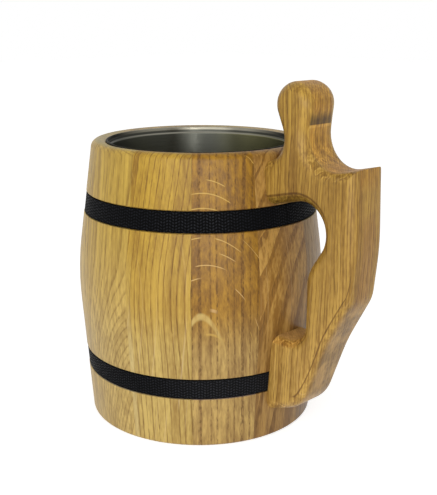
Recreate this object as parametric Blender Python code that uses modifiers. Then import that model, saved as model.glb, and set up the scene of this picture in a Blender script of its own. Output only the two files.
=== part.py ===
"""Oak tankard with a steel liner.

Twelve glued staves are turned to a barrel and closed by a disc let into a rebate at the foot.
A drawn steel cup hangs in the bore by its rolled lip, bedded on a ring of sealant.
Two woven tapes lie in turned grooves, and a sawn handle is scribed to the barrel and held by two
screws driven from inside the bore. The handle points along +X, and the base stands on z = 0.
"""

import math

import bmesh
import bpy
from mathutils import Vector

# Barrel: two straight tapers that run tangent into one belly arc.
BODY_HEIGHT = 0.1414
BASE_RADIUS = 0.05775
BELLY_RADIUS = 0.0626
BELLY_HEIGHT = 0.071
BELLY_ARC_RADIUS = 0.150
RIM_RADIUS = 0.0542
BASE_ROUND = 0.0015
RIM_ROUND = 0.0045
RIM_INNER_ROUND = 0.0040
RIM_INNER_DROP = 0.0008

# Staves
STAVE_COUNT = 12
STAVE_OFFSET = math.radians(-3.1)
GLUE_LINE = 0.0001
BORE_RADIUS = 0.0468

# Base disc, in a rebate at the foot of the staves
DISC_RADIUS = 0.0500
DISC_THICKNESS = 0.0097
DISC_CHAMFER = 0.0008

# Steel liner, measured on its inner face
LINER_WALL = 0.0007
LINER_MOUTH_RADIUS = 0.0458
LINER_NECK_LENGTH = 0.0016
LINER_STEP = 0.0006
LINER_FLOOR_RADIUS = 0.0434
LINER_CORNER = 0.0055
LIP_ROLL_RADIUS = 0.0008
LIP_SKIRT = 0.0005
LIP_PROUD = 0.0004

# Ring of sealant under the lip
SEALANT_THICKNESS = 0.0005

# Woven tapes
TAPE_WIDTH = 0.0100
TAPE_THICKNESS = 0.0007
TAPE_RECESS = 0.0002
TAPE_BUTT_GAP = 0.0003
UPPER_TAPE_DROP = 0.0307
LOWER_TAPE_HEIGHT = 0.0302

# Handle, in its own plane: distances from the barrel's axis, drops below the rim, heights over the base
HANDLE_THICKNESS = 0.0240
HANDLE_ROUNDOVER = 0.0050
KNOB_RADIUS = 0.0100
KNOB_DISTANCE = 0.0680
KNOB_RISE = 0.0215
KNOB_SANDING = 0.0016
NECK_INNER_LEAN = math.radians(24.7)
NECK_OUTER_LEAN = math.radians(12)
NECK_FILLET = 0.0111
FOOT_TOP_DROP = 0.0051
SHOULDER_FILLET = 0.0150
HORN_DISTANCE = 0.1037
HORN_DROP = 0.0036
HORN_SLOPE = math.radians(13)
BACK_DISTANCE = 0.1050
BACK_DROP = 0.0394
BACK_FILLET = 0.120
ELBOW_DISTANCE = 0.1025
ELBOW_DROP = 0.0634
ELBOW_FILLET = 0.018
CALF_DISTANCE = 0.0898
CALF_DROP = 0.0869
CALF_FILLET = 0.100
HEEL_DISTANCE = 0.0776
HEEL_HEIGHT = 0.0216
HEEL_FILLET = 0.020
HEEL_SLOPE = math.radians(20)
HOLE_FLOOR_HEIGHT = 0.0537
HOLE_FLOOR_FILLET = 0.0090
HOLE_WALL_DISTANCE = 0.0782
FINGER_BUMP_FILLET = 0.0180
FINGER_BUMP_LENGTH = 0.0150
LOBE_DISTANCE = 0.0879
LOBE_SPAN = 0.0208
CEILING_DROP = 0.0247
CEILING_SLOPE = math.radians(13)

# Countersunk wood screws that hold the handle
SCREW_LENGTH = 0.0320
SCREW_SHANK_RADIUS = 0.0020
SCREW_HEAD_RADIUS = 0.0040
SCREW_HEAD_RIM = 0.0004
SCREW_POINT = 0.0050

# Clearance between pieces that seat on or in each other
FIT_GAP = 0.0003

# Facets
STEPS_PER_STAVE = 5
TURN_STEPS = STAVE_COUNT * STEPS_PER_STAVE
SCREW_STEPS = 16
ARC_STEP = math.radians(12)
ARC_SAGITTA = 0.0001
ROUNDOVER_SEGMENTS = 4

STAVE_ANGLE = math.tau / STAVE_COUNT
FIRST_SEAM = STAVE_OFFSET - STAVE_ANGLE / 2
GROOVE_DEPTH = TAPE_RECESS + TAPE_THICKNESS + FIT_GAP
LEDGE_HEIGHT = DISC_THICKNESS + FIT_GAP
LINER_BASE = DISC_THICKNESS + FIT_GAP
LIP_CENTRE_RADIUS = LINER_MOUTH_RADIUS + LIP_ROLL_RADIUS
LIP_CENTRE_HEIGHT = BODY_HEIGHT - RIM_INNER_DROP + LIP_PROUD - LIP_ROLL_RADIUS
LIP_FOOT_HEIGHT = LIP_CENTRE_HEIGHT - LIP_SKIRT
SEAT_HEIGHT = LIP_FOOT_HEIGHT - SEALANT_THICKNESS - 2 * FIT_GAP
SEAT_RADIUS = LIP_CENTRE_RADIUS + LIP_ROLL_RADIUS + FIT_GAP
UPPER_TAPE_HEIGHT = BODY_HEIGHT - UPPER_TAPE_DROP
FOOT_TOP_HEIGHT = BODY_HEIGHT - FOOT_TOP_DROP
CEILING_HEIGHT = BODY_HEIGHT - CEILING_DROP
UPPER_SCREW_HEIGHT = (FOOT_TOP_HEIGHT + CEILING_HEIGHT) / 2
LOWER_SCREW_HEIGHT = (LOWER_TAPE_HEIGHT + TAPE_WIDTH / 2 + HOLE_FLOOR_HEIGHT) / 2


# Shared shapes

def clear_scene():
    for obj in list(bpy.data.objects):
        bpy.data.objects.remove(obj)


def collection(name):
    made = bpy.data.collections.new(name)
    bpy.context.scene.collection.children.link(made)
    return made


def material(name, colour, roughness, metallic=0.0):
    made = bpy.data.materials.new(name)
    made.use_nodes = True
    shader = made.node_tree.nodes["Principled BSDF"]
    shader.inputs["Base Color"].default_value = (*colour, 1.0)
    shader.inputs["Roughness"].default_value = roughness
    shader.inputs["Metallic"].default_value = metallic
    return made


def add_object(name, mesh, finish, group):
    """A named object in its collection, with one material and smooth round faces."""
    mesh.materials.append(finish)
    mesh.shade_smooth()
    mesh.set_sharp_from_angle(angle=math.radians(35))
    obj = bpy.data.objects.new(name, mesh)
    group.objects.link(obj)
    return obj


def as_cutter(obj):
    obj.hide_render = True
    obj.display_type = "WIRE"
    return obj


def cut(obj, cutter):
    modifier = obj.modifiers.new("cut_" + cutter.name, "BOOLEAN")
    modifier.operation = "DIFFERENCE"
    modifier.solver = "EXACT"
    modifier.object = cutter


def arc(centre, radius, start, end, step=ARC_STEP):
    """Points along an arc, both ends included; the angles run from the first axis to the second."""
    step = min(step, 2 * math.acos(1 - ARC_SAGITTA / radius))
    count = max(1, math.ceil(abs(end - start) / step))
    angles = [start + (end - start) * i / count for i in range(count + 1)]
    return [(centre[0] + radius * math.cos(a), centre[1] + radius * math.sin(a)) for a in angles]


def rounded_outline(corners):
    """The outline through (x, y, fillet radius) corners, with each corner turned by its arc."""
    points = []
    for i, (x, y, radius) in enumerate(corners):
        corner = Vector((x, y))
        before = (Vector(corners[i - 1][:2]) - corner).normalized()
        after = (Vector(corners[(i + 1) % len(corners)][:2]) - corner).normalized()
        half = before.angle(after) / 2
        if radius == 0 or math.pi / 2 - half < 1e-6:
            points.append((x, y))
            continue
        centre = corner + (before + after).normalized() * (radius / math.sin(half))
        first = corner + before * (radius / math.tan(half)) - centre
        last = corner + after * (radius / math.tan(half)) - centre
        start = math.atan2(first.y, first.x)
        turn = first.angle_signed(last)
        points += arc(centre, radius, start, start - turn)
    return without_doubles(points)


def without_doubles(points, least=1e-6):
    kept = []
    for point in points:
        if not kept or (Vector(point) - Vector(kept[-1])).length > least:
            kept.append(point)
    if (Vector(kept[0]) - Vector(kept[-1])).length < least:
        kept.pop()
    return kept


def meet(point, angle, other_point, other_angle):
    """Where two lines cross; each runs through its point, its angle counted from the first axis."""
    direction = Vector((math.cos(angle), math.sin(angle)))
    other = Vector((math.cos(other_angle), math.sin(other_angle)))
    between = Vector(other_point) - Vector(point)
    along = (between.x * other.y - between.y * other.x) / (direction.x * other.y - direction.y * other.x)
    return tuple(Vector(point) + direction * along)


def turned(name, outline, finish, group, steps=TURN_STEPS):
    """A full turn of an outline of (radius, height) points, which runs down its outer side."""
    mesh = bpy.data.meshes.new(name)
    closed = all(radius > 0 for radius, _ in outline)
    edges = [(i, i + 1) for i in range(len(outline) - 1)]
    if closed:
        edges.append((len(outline) - 1, 0))
    mesh.from_pydata([(r, 0, z) for r, z in outline], edges, [])
    obj = add_object(name, mesh, finish, group)
    turn = obj.modifiers.new("turn", "SCREW")
    turn.angle = math.tau
    turn.steps = steps
    turn.render_steps = steps
    turn.use_merge_vertices = True
    turn.merge_threshold = 1e-5
    return obj


def sector(name, outline, start, angle, steps, finish, group):
    """Part of a turn of a closed outline of (radius, height) points, with flat ends."""
    bm = bmesh.new()
    side = Vector((math.cos(start), math.sin(start), 0))
    verts = [bm.verts.new(side * r + Vector((0, 0, z))) for r, z in outline]
    face = bm.faces.new(verts)
    bmesh.ops.spin(
        bm,
        geom=[face],
        cent=(0, 0, 0),
        axis=(0, 0, 1),
        angle=angle,
        steps=steps,
        use_merge=False,
    )
    bmesh.ops.recalc_face_normals(bm, faces=bm.faces)
    mesh = bpy.data.meshes.new(name)
    bm.to_mesh(mesh)
    bm.free()
    return add_object(name, mesh, finish, group)


# Barrel profile

def taper_tangent(radius, height, side):
    """Angle on the belly arc where the straight taper from (radius, height) touches it."""
    centre = Vector((BELLY_RADIUS - BELLY_ARC_RADIUS, BELLY_HEIGHT))
    reach = Vector((radius, height)) - centre
    return math.atan2(reach.y, reach.x) - side * math.acos(BELLY_ARC_RADIUS / reach.length)


def barrel_radius(z):
    """Radius of the turned outside at a height."""
    low = taper_tangent(BASE_RADIUS, 0, -1)
    high = taper_tangent(RIM_RADIUS, BODY_HEIGHT, 1)
    sine = (z - BELLY_HEIGHT) / BELLY_ARC_RADIUS
    if sine < math.sin(low):
        return BASE_RADIUS - z * math.tan(low)
    if sine > math.sin(high):
        return RIM_RADIUS + (BODY_HEIGHT - z) * math.tan(high)
    return BELLY_RADIUS - BELLY_ARC_RADIUS * (1 - math.sqrt(1 - sine * sine))


def barrel_outside():
    """Points up the outside, from the foot's round to the rim's round, with no grooves."""
    low = taper_tangent(BASE_RADIUS, 0, -1)
    high = taper_tangent(RIM_RADIUS, BODY_HEIGHT, 1)
    belly = (BELLY_RADIUS - BELLY_ARC_RADIUS, BELLY_HEIGHT)
    foot = rounded_corner((0, 0), (BASE_RADIUS, 0), low + math.pi / 2, BASE_ROUND)
    rim = rounded_corner((0, BODY_HEIGHT), (RIM_RADIUS, BODY_HEIGHT), high - math.pi / 2, RIM_ROUND)
    return foot + arc(belly, BELLY_ARC_RADIUS, low, high, math.radians(2.4)) + rim[::-1]


def rounded_corner(start, corner, leave, radius):
    """Arc that turns from the line start-corner to the line that leaves the corner at an angle."""
    end = Vector(corner) + Vector((math.cos(leave), math.sin(leave)))
    before = (Vector(start) - Vector(corner)).normalized()
    after = (end - Vector(corner)).normalized()
    half = before.angle(after) / 2
    centre = Vector(corner) + (before + after).normalized() * (radius / math.sin(half))
    first = Vector(corner) + before * (radius / math.tan(half)) - centre
    last = Vector(corner) + after * (radius / math.tan(half)) - centre
    begin = math.atan2(first.y, first.x)
    return arc(centre, radius, begin, begin - first.angle_signed(last), math.radians(30))


def tape_section(height, width, inner, outer):
    """Four corners of a strip along the barrel's wall at a height, at two depths below the surface."""
    slope = barrel_radius(height + width / 2) - barrel_radius(height - width / 2)
    along = Vector((slope, width)).normalized()
    normal = Vector((along.y, -along.x))
    centre = Vector((barrel_radius(height), height))
    low, high = centre - along * (width / 2), centre + along * (width / 2)
    return [tuple(p) for p in (low - normal * outer, low - normal * inner,
                               high - normal * inner, high - normal * outer)]


def with_groove(outside, height):
    """The outside with a tape's groove cut into it."""
    section = tape_section(height, TAPE_WIDTH + 2 * FIT_GAP, GROOVE_DEPTH, 0)
    below = [p for p in outside if p[1] < section[0][1]]
    above = [p for p in outside if p[1] > section[-1][1]]
    return below + section + above


def stave_outline():
    """Section of a stave: the grooved outside, the rim, the lip's seat, the bore and the rebate."""
    outside = barrel_outside()
    for height in (LOWER_TAPE_HEIGHT, UPPER_TAPE_HEIGHT):
        outside = with_groove(outside, height)
    rebate = DISC_RADIUS + FIT_GAP
    fall = math.acos(1 - RIM_INNER_DROP / RIM_INNER_ROUND)
    crest = (SEAT_RADIUS + RIM_INNER_ROUND * math.sin(fall), BODY_HEIGHT - RIM_INNER_ROUND)
    inside = arc(crest, RIM_INNER_ROUND, math.pi / 2, math.pi / 2 + fall, math.radians(21)) + [
        (SEAT_RADIUS, SEAT_HEIGHT),
        (BORE_RADIUS, SEAT_HEIGHT),
        (BORE_RADIUS, LEDGE_HEIGHT),
        (rebate, LEDGE_HEIGHT),
        (rebate, DISC_CHAMFER),
        (rebate + DISC_CHAMFER, 0),
    ]
    return outside + inside


# Pieces

def make_staves(oak, group):
    """Wedge staves, glued edge to edge round the bore."""
    gap = GLUE_LINE / BELLY_RADIUS
    outline = stave_outline()
    return [
        sector(
            f"stave_{i + 1:02d}",
            outline,
            FIRST_SEAM + i * STAVE_ANGLE + gap / 2,
            STAVE_ANGLE - gap,
            STEPS_PER_STAVE,
            oak,
            group,
        )
        for i in range(STAVE_COUNT)
    ]


def make_base_disc(oak, group):
    """Turned disc that fills the rebate, flush with the foot of the staves."""
    outline = [
        (0, DISC_THICKNESS),
        (DISC_RADIUS, DISC_THICKNESS),
        (DISC_RADIUS, DISC_CHAMFER),
        (DISC_RADIUS - DISC_CHAMFER, 0),
        (0, 0),
    ]
    disc = turned("base_disc", outline, oak, group)
    disc.rotation_euler.z = FIRST_SEAM
    return disc


def liner_inside():
    """Inner face of the cup, from the crown of the lip down to the middle of the floor."""
    floor = LINER_BASE + LINER_WALL
    wall_top = LINER_MOUTH_RADIUS - LINER_STEP
    neck_foot = LIP_CENTRE_HEIGHT - LINER_NECK_LENGTH
    lip = arc((LIP_CENTRE_RADIUS, LIP_CENTRE_HEIGHT), LIP_ROLL_RADIUS, math.pi / 2, math.pi, math.radians(30))
    lean = math.atan2(neck_foot - LINER_STEP - floor, wall_top - LINER_FLOOR_RADIUS)
    corner = rounded_corner((0, floor), (LINER_FLOOR_RADIUS, floor), lean, LINER_CORNER)
    return lip + [(LINER_MOUTH_RADIUS, neck_foot), (wall_top, neck_foot - LINER_STEP)] + corner[::-1] + [(0, floor)]


def liner_outside():
    """Outer face of the cup, from the middle of the floor up to the end of the lip's skirt."""
    wall_top = LINER_MOUTH_RADIUS - LINER_STEP + LINER_WALL
    neck = LINER_MOUTH_RADIUS + LINER_WALL
    neck_foot = LIP_CENTRE_HEIGHT - LINER_NECK_LENGTH
    foot = LINER_FLOOR_RADIUS + LINER_WALL
    lean = math.atan2(neck_foot - LINER_STEP - LINER_BASE, wall_top - foot)
    corner = rounded_corner((0, LINER_BASE), (foot, LINER_BASE), lean, LINER_CORNER + LINER_WALL)
    under = arc(
        (LIP_CENTRE_RADIUS, LIP_CENTRE_HEIGHT),
        LIP_ROLL_RADIUS - LINER_WALL,
        math.pi,
        0,
        math.radians(45),
    )
    end = LIP_CENTRE_RADIUS + LIP_ROLL_RADIUS
    skirt = [(end - LINER_WALL, LIP_FOOT_HEIGHT), (end, LIP_FOOT_HEIGHT)]
    return [(0, LINER_BASE)] + corner + [(wall_top, neck_foot - LINER_STEP), (neck, neck_foot)] + under + skirt


def make_liner(steel, group):
    """Drawn steel cup with a rolled lip, a short neck and a shoulder under it."""
    crown = arc((LIP_CENTRE_RADIUS, LIP_CENTRE_HEIGHT), LIP_ROLL_RADIUS, 0, math.pi / 2, math.radians(30))
    outline = liner_inside()[::-1] + crown[::-1][1:] + liner_outside()[::-1]
    liner = turned("steel_liner", without_doubles(outline), steel, group)
    liner.rotation_euler.z = FIRST_SEAM
    return liner


def make_sealant(rubber, group):
    """Ring of sealant on the lip's seat."""
    inner = BORE_RADIUS
    outer = SEAT_RADIUS - FIT_GAP
    low = SEAT_HEIGHT + FIT_GAP
    high = low + SEALANT_THICKNESS
    ring = turned("lip_sealant", [(outer, high), (outer, low), (inner, low), (inner, high)], rubber, group)
    ring.rotation_euler.z = FIRST_SEAM
    return ring


def make_tape(name, height, weave, group):
    """Tape glued round in its groove, its ends butted behind the handle."""
    section = tape_section(height, TAPE_WIDTH, TAPE_RECESS + TAPE_THICKNESS, TAPE_RECESS)
    gap = TAPE_BUTT_GAP / barrel_radius(height)
    return sector(name, section, gap / 2, math.tau - gap, TURN_STEPS, weave, group)


def handle_corners():
    """Corners of the sawn outline with their fillets, clockwise from the top of the upper foot."""
    inside = BORE_RADIUS
    foot_top = (inside, FOOT_TOP_HEIGHT)
    knob = Vector((KNOB_DISTANCE, BODY_HEIGHT + KNOB_RISE))
    inner_line = math.pi / 2 + NECK_INNER_LEAN
    outer_line = math.pi / 2 - NECK_OUTER_LEAN
    inner_touch = knob - KNOB_RADIUS * Vector((math.cos(NECK_INNER_LEAN), math.sin(NECK_INNER_LEAN)))
    outer_touch = knob + KNOB_RADIUS * Vector((math.cos(NECK_OUTER_LEAN), -math.sin(NECK_OUTER_LEAN)))
    crown = knob + Vector((0, KNOB_RADIUS))
    horn = (HORN_DISTANCE, BODY_HEIGHT - HORN_DROP)
    heel_end = HEEL_HEIGHT - (HEEL_DISTANCE - inside) * math.tan(HEEL_SLOPE)
    lobe_top = ceiling_height(LOBE_DISTANCE)
    lobe_foot = lobe_top - LOBE_SPAN
    bump = lobe_foot - FINGER_BUMP_LENGTH
    return [
        (*foot_top, 0),
        (*meet(foot_top, 0, inner_touch, inner_line), NECK_FILLET),
        (*meet(inner_touch, inner_line, crown, 0), KNOB_RADIUS),
        (*meet(outer_touch, outer_line, crown, 0), KNOB_RADIUS),
        (*meet(outer_touch, outer_line, horn, HORN_SLOPE), SHOULDER_FILLET),
        (*horn, 0),
        (BACK_DISTANCE, BODY_HEIGHT - BACK_DROP, BACK_FILLET),
        (ELBOW_DISTANCE, BODY_HEIGHT - ELBOW_DROP, ELBOW_FILLET),
        (CALF_DISTANCE, BODY_HEIGHT - CALF_DROP, CALF_FILLET),
        (HEEL_DISTANCE, HEEL_HEIGHT, HEEL_FILLET),
        (inside, heel_end, 0),
        (inside, HOLE_FLOOR_HEIGHT, 0),
        (HOLE_WALL_DISTANCE, HOLE_FLOOR_HEIGHT, HOLE_FLOOR_FILLET),
        (HOLE_WALL_DISTANCE, bump, FINGER_BUMP_FILLET),
        (LOBE_DISTANCE, lobe_foot, lobe_fillet()),
        (LOBE_DISTANCE, lobe_top, lobe_fillet()),
        (inside, ceiling_height(inside), 0),
    ]


def lobe_fillet():
    """Radius that rounds the lobe from the finger bump's slope to the ceiling in one sweep."""
    lower_turn = math.atan2(LOBE_DISTANCE - HOLE_WALL_DISTANCE, FINGER_BUMP_LENGTH)
    upper_turn = math.pi / 2 + CEILING_SLOPE
    return LOBE_SPAN / (math.tan(lower_turn / 2) + math.tan(upper_turn / 2))


def ceiling_height(distance):
    """Height of the finger hole's sloping ceiling at a distance from the axis."""
    return CEILING_HEIGHT + (distance - barrel_radius(CEILING_HEIGHT)) * math.tan(CEILING_SLOPE)


def make_handle(oak, group, cutters):
    """Handle sawn from a plank, rounded over on both faces and scribed to the barrel."""
    bm = bmesh.new()
    half = HANDLE_THICKNESS / 2
    face = bm.faces.new([bm.verts.new((x, -half, z)) for x, z in rounded_outline(handle_corners())])
    grown = bmesh.ops.extrude_face_region(bm, geom=[face])
    far = [v for v in grown["geom"] if isinstance(v, bmesh.types.BMVert)]
    bmesh.ops.translate(bm, verts=far, vec=(0, HANDLE_THICKNESS, 0))
    bmesh.ops.recalc_face_normals(bm, faces=bm.faces)
    rims = [e for e in bm.edges if abs(e.verts[0].co.y - e.verts[1].co.y) < half]
    bmesh.ops.bevel(
        bm,
        geom=rims,
        offset=HANDLE_ROUNDOVER,
        offset_type="OFFSET",
        segments=ROUNDOVER_SEGMENTS,
        profile=0.5,
        affect="EDGES",
        clamp_overlap=False,
        material=-1,
    )
    sand_knob(bm)
    mesh = bpy.data.meshes.new("handle")
    bm.to_mesh(mesh)
    bm.free()
    handle = add_object("handle", mesh, oak, group)
    cut(handle, make_scribe(oak, cutters))
    return handle


def sand_knob(bm):
    """Thin the knob towards its edge, so that its round-over is fuller than the rest of the handle's."""
    flat = 1 - HANDLE_ROUNDOVER / KNOB_RADIUS
    knob_height = BODY_HEIGHT + KNOB_RISE
    for vert in bm.verts:
        distance = math.hypot(vert.co.x - KNOB_DISTANCE, vert.co.z - knob_height) / KNOB_RADIUS
        edge = min(max((distance - flat) / (1 - flat), 0), 1)
        fade = min(max((vert.co.z - knob_height) / KNOB_RADIUS + 1, 0), 1)
        vert.co.y -= math.copysign(KNOB_SANDING * edge * edge * fade, vert.co.y)


def make_scribe(finish, cutters):
    """The barrel's outside with a clearance, which the handle's feet are cut to."""
    outside = [(r + FIT_GAP, z) for r, z in barrel_outside()]
    foot = (outside[0][0], -FIT_GAP)
    rim = (outside[-1][0], BODY_HEIGHT + FIT_GAP)
    outline = [(0, rim[1]), rim] + outside[::-1] + [foot, (0, foot[1])]
    scribe = turned("barrel_scribe", without_doubles(outline), finish, cutters)
    scribe.rotation_euler.z = FIRST_SEAM
    return as_cutter(scribe)


def screw_outline(clearance=0.0):
    """Countersunk screw along its axis, head at the bottom, grown by a clearance."""
    head = SCREW_HEAD_RADIUS + clearance
    shank = SCREW_SHANK_RADIUS + clearance
    cone_end = SCREW_HEAD_RIM + SCREW_HEAD_RADIUS - SCREW_SHANK_RADIUS
    return [
        (0, SCREW_LENGTH + clearance),
        (shank, SCREW_LENGTH - SCREW_POINT + clearance),
        (shank, cone_end),
        (head, SCREW_HEAD_RIM),
        (head, -clearance),
        (0, -clearance),
    ]


def make_screw(name, height, steel, group, clearance=0.0):
    """Screw lying along +X, its head sunk just below the bore's wall."""
    screw = turned(name, screw_outline(clearance), steel, group, SCREW_STEPS)
    screw.rotation_euler.y = math.pi / 2
    screw.location = (BORE_RADIUS + FIT_GAP, 0, height)
    return screw


def main():
    clear_scene()
    tankard = collection("oak_tankard")
    cutters = collection("cutters")
    stave_oak = material("stave_oak", (0.47, 0.30, 0.11), 0.45)
    handle_oak = material("handle_oak", (0.42, 0.26, 0.09), 0.45)
    disc_oak = material("disc_oak", (0.44, 0.28, 0.11), 0.50)
    steel = material("liner_steel", (0.56, 0.55, 0.52), 0.28, 1.0)
    weave = material("black_tape", (0.012, 0.012, 0.014), 0.60)
    rubber = material("sealant", (0.55, 0.54, 0.50), 0.60)
    zinc = material("screw_steel", (0.60, 0.59, 0.55), 0.35, 1.0)

    staves = make_staves(stave_oak, tankard)
    make_base_disc(disc_oak, tankard)
    make_liner(steel, tankard)
    make_sealant(rubber, tankard)
    make_tape("upper_band", UPPER_TAPE_HEIGHT, weave, tankard)
    make_tape("lower_band", LOWER_TAPE_HEIGHT, weave, tankard)
    handle = make_handle(handle_oak, tankard, cutters)

    for label, height in (("upper", UPPER_SCREW_HEIGHT), ("lower", LOWER_SCREW_HEIGHT)):
        make_screw(f"{label}_handle_screw", height, zinc, tankard)
        hole = as_cutter(make_screw(f"{label}_screw_hole", height, zinc, cutters, FIT_GAP))
        cut(handle, hole)
        cut(staves[0], hole)


main()
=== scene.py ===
import math

import bmesh
import bpy
from mathutils import Euler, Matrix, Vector


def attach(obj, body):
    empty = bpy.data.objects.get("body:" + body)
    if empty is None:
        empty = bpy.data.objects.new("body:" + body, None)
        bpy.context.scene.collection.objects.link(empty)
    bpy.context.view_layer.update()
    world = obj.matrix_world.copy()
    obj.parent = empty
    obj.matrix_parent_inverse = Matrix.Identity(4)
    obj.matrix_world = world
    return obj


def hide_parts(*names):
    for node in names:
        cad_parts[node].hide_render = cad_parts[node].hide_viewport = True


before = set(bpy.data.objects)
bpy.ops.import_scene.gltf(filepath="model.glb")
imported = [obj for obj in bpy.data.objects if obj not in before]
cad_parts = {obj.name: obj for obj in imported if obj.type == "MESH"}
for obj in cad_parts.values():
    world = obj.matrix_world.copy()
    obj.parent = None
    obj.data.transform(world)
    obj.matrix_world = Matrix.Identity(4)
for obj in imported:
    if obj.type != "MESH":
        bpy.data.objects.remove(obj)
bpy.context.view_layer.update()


# Staves: twelve oak wedges glued edge to edge, turned on a lathe to a barrel, grooved for two
# tapes, rounded at the rim and rebated inside for the liner's lip and the base disc.
# The wood is lacquered with a satin finish, and each stave comes from its own board.

STAVE_TURN = math.radians(30)
FIRST_SEAM = math.radians(-18.1)
GLUE_LINE = 0.00004
STAVE_STEPS = 16
FOOT_RADIUS = 0.05775
FOOT_ROUND = 0.0015
FOOT_TAPER = 0.0741025
BELLY_RADIUS = 0.0626
BELLY_CORNER = (0.063376, 0.0759219)
BELLY_ROUND = 0.150
RIM_RADIUS = 0.0542
RIM_HEIGHT = 0.1414
RIM_TAPER = 0.1401385
CREST_CORNER = (0.05407, 0.1423)
CREST_ROUND = 0.0036
BORE_RADIUS = 0.0468
SEAT_RADIUS = 0.0475
SEAT_HEIGHT = 0.1386
SEAT_EDGE = 0.1400
REBATE_RADIUS = 0.0503
REBATE_HEIGHT = 0.0100
REBATE_CHAMFER = 0.0008
UPPER_TAPE = 0.1107
LOWER_TAPE = 0.0302
TAPE_WIDTH = 0.0100
GROOVE_PLAY = 0.0006
GROOVE_DEPTH = 0.0012
GROOVE_ROUND = 0.00025
SCREW_HEIGHTS = (0.1265, 0.04445)
SCREW_HOLE = [
    (0.0455, 0, 0),
    (0.0455, 0.0043, 0),
    (0.0475, 0.0043, 0),
    (0.0495, 0.0023, 0),
    (0.0744, 0.0023, 0),
    (0.0794, 0, 0),
]
SCREW_HOLE_STEPS = 24
DRILL_TILT = (0, 0.99, 0.14)
ARC_STEP = math.radians(9)
ARC_SAG = 0.00003
WELD = 0.00001
AXIS_REACH = 0.0002
AXIS_WELD = 0.0003
CREASE = 35


def draw_outline(bm, corners, across, up, closed=True):
    """Wire through (across, up, fillet) corners, each fillet swung about its centre."""
    across, up = Vector(across), Vector(up)
    first = last = None
    for i, (a, b, radius) in enumerate(corners):
        corner = Vector((a, b))
        before = (Vector(corners[i - 1][:2]) - corner).normalized()
        after = (Vector(corners[(i + 1) % len(corners)][:2]) - corner).normalized()
        if radius == 0:
            start = end = bm.verts.new(across * a + up * b)
        else:
            half = before.angle(after) / 2
            centre = corner + (before + after).normalized() * (radius / math.sin(half))
            leave = corner + before * (radius / math.tan(half)) - centre
            meet = corner + after * (radius / math.tan(half)) - centre
            turn = -leave.angle_signed(meet)
            step = min(ARC_STEP, 2 * math.acos(1 - ARC_SAG / radius))
            begin = centre + leave
            start = bm.verts.new(across * begin.x + up * begin.y)
            swung = bmesh.ops.spin(
                bm,
                geom=[start],
                cent=across * centre.x + up * centre.y,
                axis=across.cross(up),
                angle=turn,
                steps=max(2, math.ceil(abs(turn) / step)),
                use_merge=False,
            )
            end = [v for v in swung["geom_last"] if isinstance(v, bmesh.types.BMVert)][0]
        if last:
            bm.edges.new((last, start))
        first = first or start
        last = end
    if closed:
        bm.edges.new((last, first))
    bmesh.ops.remove_doubles(bm, verts=bm.verts, dist=WELD)


def swing_section(bm, angle, steps):
    """Fill a closed outline and swing it part of the way round the barrel's axis."""
    section = bmesh.ops.contextual_create(bm, geom=bm.edges[:])["faces"]
    bmesh.ops.spin(
        bm,
        geom=section,
        cent=(0, 0, 0),
        axis=(0, 0, 1),
        angle=angle,
        steps=steps,
        use_merge=False,
    )


def turn_solid(bm, axis, steps):
    """Spin an open outline all the way round and close it where it meets the axis."""
    axis = Vector(axis)
    bmesh.ops.spin(
        bm,
        geom=bm.verts[:] + bm.edges[:],
        cent=(0, 0, 0),
        axis=axis,
        angle=math.tau,
        steps=steps,
        use_merge=True,
    )
    tips = [v for v in bm.verts if v.co.cross(axis).length < AXIS_REACH]
    bmesh.ops.remove_doubles(bm, verts=tips, dist=AXIS_WELD)


def make_piece(bm, name, finish, crease=CREASE):
    """Object from a bmesh, smooth all over but for arrises sharper than the crease angle."""
    bmesh.ops.recalc_face_normals(bm, faces=bm.faces)
    mesh = bpy.data.meshes.new(name)
    bm.to_mesh(mesh)
    bm.free()
    mesh.materials.append(finish)
    mesh.shade_smooth()
    mesh.set_sharp_from_angle(angle=math.radians(crease))
    piece = bpy.data.objects.new(name, mesh)
    bpy.context.scene.collection.objects.link(piece)
    return piece


def cut_away(piece, cutter):
    """Cut one piece with another, keep the result as a plain mesh and drop the cutter."""
    cut = piece.modifiers.new("cut", "BOOLEAN")
    cut.operation = "DIFFERENCE"
    cut.solver = "EXACT"
    cut.object = cutter
    done = bpy.data.meshes.new_from_object(piece.evaluated_get(bpy.context.evaluated_depsgraph_get()))
    piece.modifiers.remove(cut)
    whole = piece.data
    piece.data = done
    bpy.data.meshes.remove(whole)
    bpy.data.objects.remove(cutter)
    done.name = piece.name
    done.shade_smooth()
    done.set_sharp_from_angle(angle=math.radians(CREASE))


def drill_screw_hole(piece, height):
    """Countersunk hole from the bore along +X, turned so that its facets miss the wood's own."""
    bm = bmesh.new()
    draw_outline(bm, SCREW_HOLE, (1, 0, 0), DRILL_TILT, closed=False)
    turn_solid(bm, (1, 0, 0), SCREW_HOLE_STEPS)
    bmesh.ops.translate(bm, verts=bm.verts, vec=(0, 0, height))
    cut_away(piece, make_piece(bm, "screw_drill", piece.data.materials[0]))


def wall_radius(height):
    """Radius of the turned outside on the tapers above and below the belly."""
    return min(FOOT_RADIUS + height * FOOT_TAPER, RIM_RADIUS + (RIM_HEIGHT - height) * RIM_TAPER)


def strip_corners(height, width, inner, outer):
    """Corners of a strip on the wall at a height, from the lower outer one round to the upper."""
    rise = wall_radius(height + width / 2) - wall_radius(height - width / 2)
    along = Vector((rise, width)).normalized()
    out = Vector((along.y, -along.x))
    middle = Vector((wall_radius(height), height))
    low, high = middle - along * (width / 2), middle + along * (width / 2)
    return [low + out * outer, low + out * inner, high + out * inner, high + out * outer]


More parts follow.
